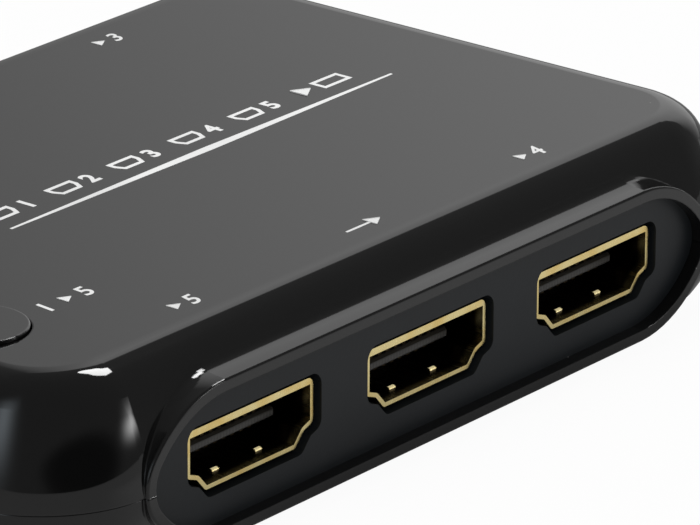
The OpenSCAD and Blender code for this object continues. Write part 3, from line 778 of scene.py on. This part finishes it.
def studio_patch():
    """A soft round patch of light in the studio, by direction."""
    name = "Studio Patch"
    if name in bpy.data.node_groups:
        return bpy.data.node_groups[name]
    labels = ("Turn", "Rise", "Centre Turn", "Centre Rise", "Spread Turn", "Spread Rise", "Sharpness")
    tree, given, result = node_group(name, labels, ("Patch",))
    around = maths(tree, "WRAP", maths(tree, "SUBTRACT", given["Turn"], given["Centre Turn"]), 180.0, -180.0)
    across = maths(tree, "DIVIDE", around, given["Spread Turn"])
    upward = maths(tree, "DIVIDE", maths(tree, "SUBTRACT", given["Rise"], given["Centre Rise"]),
                   given["Spread Rise"])
    square = maths(tree, "MULTIPLY_ADD", across, across, maths(tree, "MULTIPLY", upward, upward))
    steep = maths(tree, "POWER", square, given["Sharpness"])
    tree.links.new(maths(tree, "EXPONENT", maths(tree, "MULTIPLY", steep, -1.0)), result["Patch"])
    return tree


def direction(turn, rise):
    """Unit vector at a turn from +Y towards +X and a rise above the floor, in degrees."""
    turn, rise = math.radians(turn), math.radians(rise)
    return Vector((math.sin(turn)*math.cos(rise), math.cos(turn)*math.cos(rise), math.sin(rise)))


# Studio as the gloss sees it, in degrees of turn and rise. The backdrop's levels change from the first
# to the second angle, from the first to the second level
BACKDROP_START = (-20.0, 30.0, 0.0, 1.0)
BACKDROP_GROWTH = (41.0, 57.5, 0.02, 0.82)
BACKDROP_END = (74.0, 100.0, 1.0, 0.0)
BACKDROP_LIFT = (-10.0, 36.0, 0.72, 1.12)
BACKDROP_EDGE = (71.0, 72.8, 1.0, 0.0)
BACKDROP_SLANT = 0.5
# A patch has its centre, its spread, its level and its sharpness
ROOM_LEVEL = 0.17
DARK_CORNER = ((-164.0, 7.0), (36.0, 13.0), 0.165, 4.0)
STRIP_LIGHT = ((141.5, 10.0), (8.5, 3.2), 7.0)
STRIP_EDGE = (135.5, 137.8)
WINDOW = ((-89.0, 25.0), (10.0, 18.0), 2.0)
WINDOW_TINT = (0.86, 0.97, 1.06)


def studio_world(settings):
    """White to the camera, even light on the object, and the studio's backdrop in reflections."""
    world = bpy.data.worlds.new("studio")
    bpy.context.scene.world = world
    world.use_nodes = True
    tree = world.node_tree
    tree.nodes.clear()
    where = add_node(tree, "ShaderNodeTexCoord").outputs["Generated"]
    x, y, z = add_node(tree, "ShaderNodeSeparateXYZ", None, {0: where}).outputs
    turn = maths(tree, "DEGREES", maths(tree, "ARCTAN2", x, y))
    rise = maths(tree, "DEGREES", maths(tree, "ARCSINE", z))

    def patch(centre, spread, level, sharpness=1.0):
        placed = add_node(tree, "ShaderNodeGroup", {"node_tree": studio_patch()}, {
            "Turn": turn, "Rise": rise, "Centre Turn": centre[0], "Centre Rise": centre[1],
            "Spread Turn": spread[0], "Spread Rise": spread[1], "Sharpness": sharpness})
        return maths(tree, "MULTIPLY", placed.outputs[0], level)

    # pale backdrop behind the object: grows to the right, ends in a slanted upper edge
    growing = ramp(tree, turn, *BACKDROP_GROWTH, False)
    fading = ramp(tree, turn, *BACKDROP_END)
    lifted = ramp(tree, rise, *BACKDROP_LIFT, False)
    slant = maths(tree, "MULTIPLY_ADD", turn, BACKDROP_SLANT, rise)
    edge = ramp(tree, slant, *BACKDROP_EDGE)
    behind = ramp(tree, turn, *BACKDROP_START)
    backdrop = maths(tree, "MULTIPLY", maths(tree, "MULTIPLY", growing, fading),
                     maths(tree, "MULTIPLY", maths(tree, "MULTIPLY", lifted, edge), behind))
    # dim room, a dark corner in front, a narrow strip light and a cool window on the left
    room = maths(tree, "SUBTRACT", ROOM_LEVEL, patch(*DARK_CORNER))
    strip = maths(tree, "MULTIPLY", patch(*STRIP_LIGHT), ramp(tree, turn, *STRIP_EDGE, 0.0, 1.0))
    window = patch(*WINDOW)
    plain = maths(tree, "ADD", maths(tree, "ADD", backdrop, room), strip)
    tint = add_node(tree, "ShaderNodeCombineColor", None, {
        channel: maths(tree, "MULTIPLY_ADD", window, share, plain)
        for channel, share in enumerate(WINDOW_TINT)}).outputs[0]
    path = add_node(tree, "ShaderNodeLightPath").outputs
    even = rgba((settings.ambient,)*3)
    seen = blend_colour(tree, path["Is Glossy Ray"], even, tint)
    shown = blend_colour(tree, path["Is Camera Ray"], seen, (1, 1, 1, 1))
    background = add_node(tree, "ShaderNodeBackground", None, {"Color": shown, "Strength": 1.0})
    out = add_node(tree, "ShaderNodeOutputWorld")
    tree.links.new(background.outputs[0], out.inputs[0])


# Key light: its direction in degrees, its distance and the two widths of its face in metres
KEY_LIGHT = {"turn": 82.5, "rise": 52, "distance": 1.2, "size": (0.48, 0.23)}
# It is aimed at the front left corner: inset from both sides, and below the top
KEY_TARGET = (8*MM, 3*MM)


def softbox(name, target, radiance, turn, rise, distance, size):
    """An oval lamp of a given face brightness, aimed at a target."""
    lamp = bpy.data.lights.new(name, "AREA")
    lamp.shape = "ELLIPSE"
    lamp.size, lamp.size_y = size
    lamp.energy = radiance*math.pi*math.pi/4*size[0]*size[1]
    holder = bpy.data.objects.new(name, lamp)
    bpy.context.scene.collection.objects.link(holder)
    towards = direction(turn, rise)
    holder.location = Vector(target) + towards*distance
    holder.rotation_euler = towards.to_track_quat("Z", "Y").to_euler()
    holder.visible_camera = False
    return holder


# Floor in reflections, painted as a glow: where its painted light brightens beside the box, where that ends,
# and the painted shadow of the box
FLOOR_BLEND = 35*MM
FLOOR_REACH = (80*MM, 170*MM)
SHADE_REACH = (14*MM, 2*MM)
SHADE_DEPTH = 0.72


def floor_material(settings):
    """Pale floor: white to the camera with the object's shadow; in reflections a greyer glow with painted
    light beside the box and a painted shadow before the ports.
    """
    material, tree, shader, where = start_material("floor")
    grained = use_group(tree, moulded_grain(), where, Grain_Scale=60)
    grey = settings.floor_grey
    toned = blend_colour(tree, grained["Tone"], rgba((grey,)*3), rgba((grey*0.985,)*3))
    tree.links.new(toned, shader.inputs["Base Color"])
    shader.inputs["Roughness"].default_value = 0.9
    path = add_node(tree, "ShaderNodeLightPath").outputs
    white = add_node(tree, "ShaderNodeEmission", None, {"Color": (1, 1, 1, 1), "Strength": 1.0}).outputs[0]
    x, y = add_node(tree, "ShaderNodeSeparateXYZ", None, {0: where}).outputs[:2]
    far = add_node(tree, "ShaderNodeVectorMath", {"operation": "LENGTH"}, {0: where}).outputs["Value"]
    left, front = CAD_BOX[0][:2]
    before = ramp(tree, x, left, left + FLOOR_BLEND, 0.0, 1.0)
    near = maths(tree, "MULTIPLY", before, ramp(tree, far, *FLOOR_REACH, 1.0, 0.0))
    painted_light_level = maths(tree, "MULTIPLY_ADD", near, settings.floor_front - settings.floor_in_gloss,
                settings.floor_in_gloss)
    # painted shadow: the floor close before the ports is darkened in reflections, for the box's own shade
    shade = ramp(tree, y, front - SHADE_REACH[0], front - SHADE_REACH[1], 0.0, SHADE_DEPTH)
    open_share = maths(tree, "SUBTRACT", 1.0, maths(tree, "MULTIPLY", shade, before))
    level = maths(tree, "MULTIPLY", painted_light_level, open_share)
    dim = add_node(tree, "ShaderNodeEmission", None, {"Color": (1, 1, 1, 1), "Strength": level}).outputs[0]
    seen = add_node(tree, "ShaderNodeMixShader", None, {
        0: maths(tree, "MULTIPLY", path["Is Glossy Ray"], 0.8), 1: shader.outputs[0], 2: dim}).outputs[0]
    shown = add_node(tree, "ShaderNodeMixShader", None, {
        0: maths(tree, "MULTIPLY", path["Is Camera Ray"], 0.955), 1: seen, 2: white}).outputs[0]
    tree.links.new(shown, tree.nodes["Material Output"].inputs[0])
    return material


class SWITCHBOX_OT_stage(Operator):
    """Sets up the camera, the floor and the studio light"""
    bl_idname = "switchbox.stage"
    bl_label = "Stage"

    def execute(self, context):
        settings = context.scene.switch_box_studio
        scene = context.scene
        scene.view_settings.view_transform = "Standard"
        camera = bpy.data.cameras.new("camera")
        camera.sensor_width = 36
        camera.lens = settings.lens
        camera.clip_start = 0.01
        holder = bpy.data.objects.new("camera", camera)
        scene.collection.objects.link(holder)
        turned = (Matrix.Rotation(settings.camera_turn, 4, "Z")
                  @ Matrix.Rotation(math.pi/2 - settings.camera_drop, 4, "X")
                  @ Matrix.Rotation(settings.camera_roll, 4, "Z"))
        holder.matrix_world = Matrix.Translation(settings.camera_place) @ turned
        scene.camera = holder
        bpy.ops.object.select_all(action="DESELECT")
        bpy.ops.mesh.primitive_plane_add(size=settings.floor_size)
        floor = context.object
        floor.name = "floor"
        floor.data.materials.append(floor_material(settings))
        studio_world(settings)
        inset, drop = KEY_TARGET
        corner = Vector((CAD_BOX[0][0] + inset, CAD_BOX[0][1] + inset, CAD_BOX[1][2] - drop))
        softbox("key", corner, settings.key_radiance, **KEY_LIGHT)
        return {"FINISHED"}


OPERATORS = (SWITCHBOX_OT_stage, SWITCHBOX_OT_shells, SWITCHBOX_OT_panels, SWITCHBOX_OT_sockets,
             SWITCHBOX_OT_inside, SWITCHBOX_OT_underside, SWITCHBOX_OT_line, SWITCHBOX_OT_row,
             SWITCHBOX_OT_ports, SWITCHBOX_OT_button_mark)
SETTINGS = {"switch_box_finish": FinishSettings, "switch_box_print": PrintSettings,
            "switch_box_studio": StudioSettings}


class SWITCHBOX_PT_build(Panel):
    """Lists the steps that finish the switch box"""
    bl_idname = "SWITCHBOX_PT_build"
    bl_label = "Switch Box"
    bl_space_type = "VIEW_3D"
    bl_region_type = "UI"
    bl_category = "Switch Box"

    def draw(self, context):
        column = self.layout.column(align=True)
        for step in OPERATORS:
            column.operator(step.bl_idname)
        for name, group in SETTINGS.items():
            column.separator()
            for key in group.__annotations__:
                column.prop(getattr(context.scene, name), key)


def register():
    for group in SETTINGS.values():
        bpy.utils.register_class(group)
    for item in (*OPERATORS, SWITCHBOX_PT_build):
        bpy.utils.register_class(item)
    for name, group in SETTINGS.items():
        setattr(bpy.types.Scene, name, PointerProperty(type=group))


def unregister():
    for name in SETTINGS:
        delattr(bpy.types.Scene, name)
    for item in (SWITCHBOX_PT_build, *reversed(OPERATORS)):
        bpy.utils.unregister_class(item)
    for group in SETTINGS.values():
        bpy.utils.unregister_class(group)


def main():
    register()
    for step in OPERATORS:
        family, action = step.bl_idname.split(".")
        getattr(getattr(bpy.ops, family), action)()


if __name__ == "__main__":
    main()
